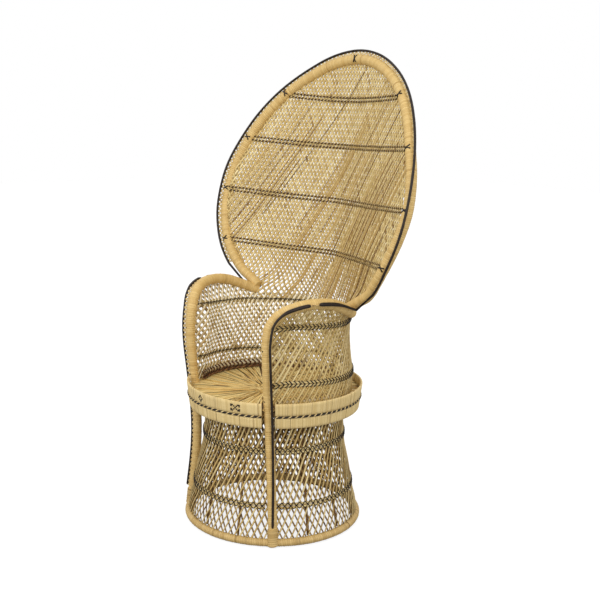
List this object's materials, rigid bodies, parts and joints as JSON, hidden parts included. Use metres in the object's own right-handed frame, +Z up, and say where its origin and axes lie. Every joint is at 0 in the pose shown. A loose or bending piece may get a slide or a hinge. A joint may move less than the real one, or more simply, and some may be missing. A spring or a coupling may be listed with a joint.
{
  "type": "peacock chair",
  "caption": "Woven cane armchair with an hourglass skirt, a round seat, a barrel wall under looped arms and a tall leaf-shaped fan back.",
  "frame": {"origin": "middle of the chair's box, on the floor", "axes": "+Z up, -Y the way the sitter faces, +X to the right of someone who looks at the chair's front"},
  "size_m": [0.901, 0.629, 1.5036],
  "materials": {
    "wrapped_cane": "satin",
    "woven_cane": "matt",
    "dark_cane": "satin",
    "brown_cane": "matt"
  },
  "bodies": {
    "root": {"base_ring_front": "wrapped_cane", "base_ring_rear": "wrapped_cane", "right_foot_wrap": "wrapped_cane", "left_foot_wrap": "wrapped_cane", "skirt_panel": "woven_cane", "skirt_band_upper": "dark_cane", "skirt_band_lower_front": "dark_cane", "skirt_band_lower_rear": "dark_cane", "skirt_stake_01": "brown_cane", "skirt_stake_02": "brown_cane", "skirt_stake_03": "brown_cane", "skirt_stake_04": "brown_cane", "skirt_stake_05": "brown_cane", "skirt_stake_06": "brown_cane", "skirt_stake_07": "brown_cane", "skirt_stake_08": "brown_cane", "skirt_stake_09": "brown_cane", "skirt_stake_10": "brown_cane", "skirt_stake_11": "brown_cane", "skirt_stake_12": "brown_cane", "seat_hoop": "wrapped_cane", "seat_rim_pole_front": "wrapped_cane", "seat_rim_pole_rear": "wrapped_cane", "seat_bearer_front": "wrapped_cane", "seat_bearer_rear": "wrapped_cane", "seat_panel": "woven_cane", "seat_edge_braid": "brown_cane", "seat_band_upper_front": "woven_cane", "seat_band_upper_rear": "woven_cane", "seat_band_lower_front": "woven_cane", "seat_band_lower_rear": "woven_cane", "seat_band_cord_front": "dark_cane", "seat_band_cord_rear": "dark_cane", "right_leg_and_arm": "wrapped_cane", "left_leg_and_arm": "wrapped_cane", "right_leg_rod": "dark_cane", "left_leg_rod": "dark_cane", "right_leg_lacing": "woven_cane", "left_leg_lacing": "woven_cane", "barrel_panel": "woven_cane", "barrel_band_lower_outer": "dark_cane", "barrel_band_lower_inner": "dark_cane", "barrel_band_upper_outer": "dark_cane", "barrel_band_upper_inner": "dark_cane", "back_panel": "woven_cane", "back_band_1": "dark_cane", "back_band_2": "dark_cane", "back_band_3": "dark_cane", "back_band_4": "dark_cane", "back_rim_pole": "wrapped_cane", "back_rim_lacing": "woven_cane", "back_rim_rod": "dark_cane"}
  },
  "joints": []
}
